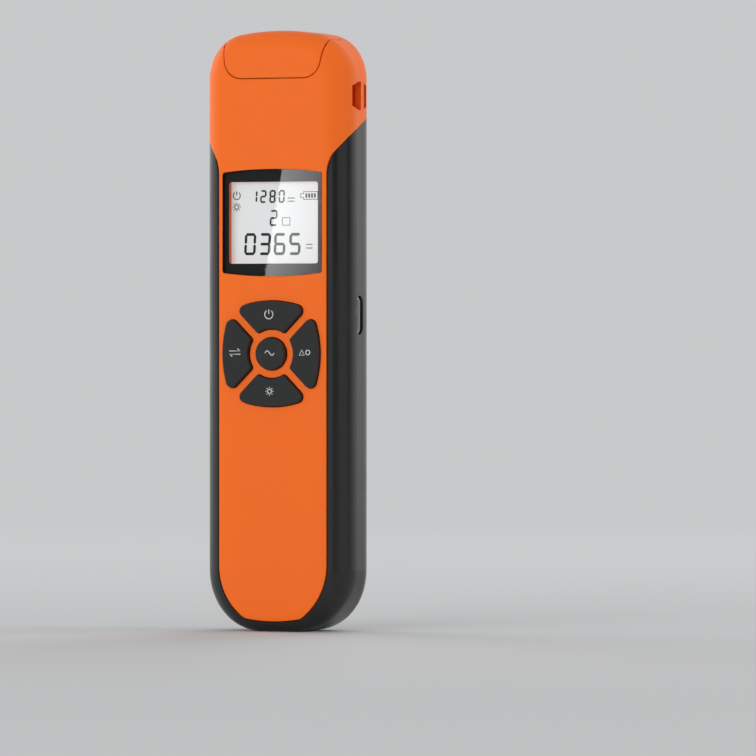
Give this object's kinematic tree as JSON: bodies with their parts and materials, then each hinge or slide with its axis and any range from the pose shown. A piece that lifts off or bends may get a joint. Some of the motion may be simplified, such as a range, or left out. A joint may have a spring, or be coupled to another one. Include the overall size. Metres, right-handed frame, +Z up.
{
  "type": "optical power meter",
  "caption": "Slim hand-held optical power meter: two-colour moulded housing with flip cap over the optical port, display window, ring of keys and a side charging socket.",
  "frame": {"origin": "centre of the level foot that the meter stands on, midway between its flat front and back faces", "axes": "+Z up through the optical port, front face with display and keys towards -Y, charging socket and strap eye towards +X"},
  "size_m": [0.0392, 0.0207, 0.148],
  "materials": {
    "orange_abs": "moulded ABS, fine even texture, satin",
    "black_abs": "moulded ABS, fine spark texture, matt",
    "key_plastic": "moulded keys, matt, printed legends",
    "clear_acrylic": "clear acrylic window with a black printed border, glossy",
    "lcd_cell": "pale grey segment display cell",
    "light_guide": "milky acrylic light guide",
    "silicone": "silicone rubber",
    "circuit_board": "glass-epoxy board with green solder mask",
    "chip_epoxy": "moulded chip package",
    "connector_plastic": "moulded connector plastic",
    "steel": "zinc-plated steel",
    "nickel_plate": "nickel-plated metal",
    "battery_pouch": "aluminium laminate pouch",
    "foam_tape": "double-sided foam tape",
    "ceramic": "zirconia",
    "detector_glass": "flat glass window"
  },
  "bodies": {
    "housing": {"front_shell": "orange_abs", "rear_shell": "black_abs", "cap_hinge_pin": "steel", "display_window": "clear_acrylic", "lcd_panel": "lcd_cell", "lcd_backlight": "light_guide", "lcd_connector": "silicone", "keypad_mat": "silicone", "key_domes": "steel", "main_board": "circuit_board", "processor_chip": "chip_epoxy", "amplifier_chip": "chip_epoxy", "charger_chip": "chip_epoxy", "crystal_can": "steel", "usb_shell": "nickel_plate", "usb_tongue": "connector_plastic", "battery_cell": "battery_pouch", "battery_tape": "foam_tape", "battery_tabs": "nickel_plate", "adapter_body": "nickel_plate", "adapter_nut": "nickel_plate", "ferrule_sleeve": "ceramic", "detector_can": "nickel_plate", "detector_window": "detector_glass", "detector_leads": "nickel_plate", "housing_screws": "steel", "board_screws": "steel"},
    "cap": {"flip_cap": "orange_abs"},
    "key_power": {"key_power": "key_plastic"},
    "key_lamp": {"key_lamp": "key_plastic"},
    "key_ref": {"key_ref": "key_plastic"},
    "key_wave": {"key_wave": "key_plastic"},
    "key_unit": {"key_unit": "key_plastic"}
  },
  "joints": [
    {"name": "cap_hinge", "type": "hinge", "parent": "housing", "child": "cap", "pos_m": [0, 0.0072, 0.1318], "axis": [-1, 0, 0], "range_deg": [0, 90]},
    {"name": "key_power_press", "type": "slide", "parent": "housing", "child": "key_power", "axis": [0, 1, 0], "range_m": [0, 0.0005], "stiffness_N_per_m": 600, "springref_m": -0.0003},
    {"name": "key_lamp_press", "type": "slide", "parent": "housing", "child": "key_lamp", "axis": [0, 1, 0], "range_m": [0, 0.0005], "stiffness_N_per_m": 600, "springref_m": -0.0003},
    {"name": "key_ref_press", "type": "slide", "parent": "housing", "child": "key_ref", "axis": [0, 1, 0], "range_m": [0, 0.0005], "stiffness_N_per_m": 600, "springref_m": -0.0003},
    {"name": "key_wave_press", "type": "slide", "parent": "housing", "child": "key_wave", "axis": [0, 1, 0], "range_m": [0, 0.0005], "stiffness_N_per_m": 600, "springref_m": -0.0003},
    {"name": "key_unit_press", "type": "slide", "parent": "housing", "child": "key_unit", "axis": [0, 1, 0], "range_m": [0, 0.0005], "stiffness_N_per_m": 600, "springref_m": -0.0003}
  ]
}
